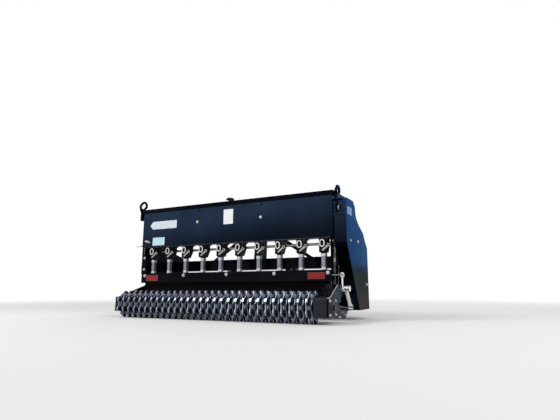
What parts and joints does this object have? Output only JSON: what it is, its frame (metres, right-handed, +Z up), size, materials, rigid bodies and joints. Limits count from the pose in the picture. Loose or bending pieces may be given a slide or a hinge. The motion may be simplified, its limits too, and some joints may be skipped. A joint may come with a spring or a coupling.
{
  "type": "seed drill",
  "caption": "Compact mounted seed drill: long seed hopper with hinged lid over a row of seed cups and tubes, between a notched front roller and a crow-foot rear roller.",
  "frame": {"origin": "bottom centre of the machine's bounding box, on the ground that it stands on", "axes": "+X to the machine's right, +Y forward in the direction of travel, +Z up"},
  "size_m": [2.032, 0.9904, 1.0389],
  "materials": {
    "black_paint": "glossy black powder coat, dusty",
    "plated_steel": "zinc plated, dulled",
    "cast_iron": "dark cast iron with bright worn tips",
    "seed_tube": "pale grey, soft sheen",
    "reflector_red": "clear red",
    "knob_black": "moulded black"
  },
  "bodies": {
    "root": {"left_end_plate": "black_paint", "right_end_plate": "black_paint", "front_toolbar": "black_paint", "rear_crossbar": "black_paint", "hitch_mast": "black_paint", "mast_braces": "black_paint", "hitch_lugs": "black_paint", "hopper_shell": "black_paint", "hopper_left_end": "black_paint", "hopper_right_end": "black_paint", "tube_guide": "black_paint", "deflector": "black_paint", "drive_shield": "black_paint", "left_roller_arm": "black_paint", "right_roller_arm": "black_paint", "rod_bracket": "black_paint", "lifting_rings": "black_paint", "hitch_pins": "plated_steel", "hopper_hinges": "plated_steel", "agitator": "plated_steel", "metering_shaft": "plated_steel", "gate_strip": "plated_steel", "cup_rings": "plated_steel", "cup_levers": "plated_steel", "shield_standoffs": "plated_steel", "drive_chain": "plated_steel", "jackshaft": "plated_steel", "rate_bracket": "plated_steel", "rate_lever": "plated_steel", "stay_link": "plated_steel", "stay_pin": "plated_steel", "pressure_rod": "plated_steel", "lid_latch": "plated_steel", "seed_cups": "cast_iron", "chain_wheels": "cast_iron", "rear_bearings": "cast_iron", "front_bearings": "cast_iron", "seed_tubes": "seed_tube", "reflectors": "reflector_red"},
    "lid": {"lid_panel": "black_paint", "lid_knob": "knob_black"},
    "rear_roller_body": {"rear_roller": "cast_iron"},
    "front_roller_body": {"front_roller": "cast_iron"}
  },
  "joints": [
    {"name": "lid_hinge", "type": "hinge", "parent": "root", "child": "lid", "pos_m": [0, 0.26011, 0.9403], "axis": [-1, 0, 0], "range_deg": [0, 100]},
    {"name": "rear_roller_spin", "type": "hinge", "parent": "root", "child": "rear_roller_body", "pos_m": [0, -0.38789, 0.10723], "axis": [-1, 0, 0], "continuous": true},
    {"name": "front_roller_spin", "type": "hinge", "parent": "root", "child": "front_roller_body", "pos_m": [0, 0.25911, 0.12591], "axis": [-1, 0, 0], "continuous": true}
  ]
}
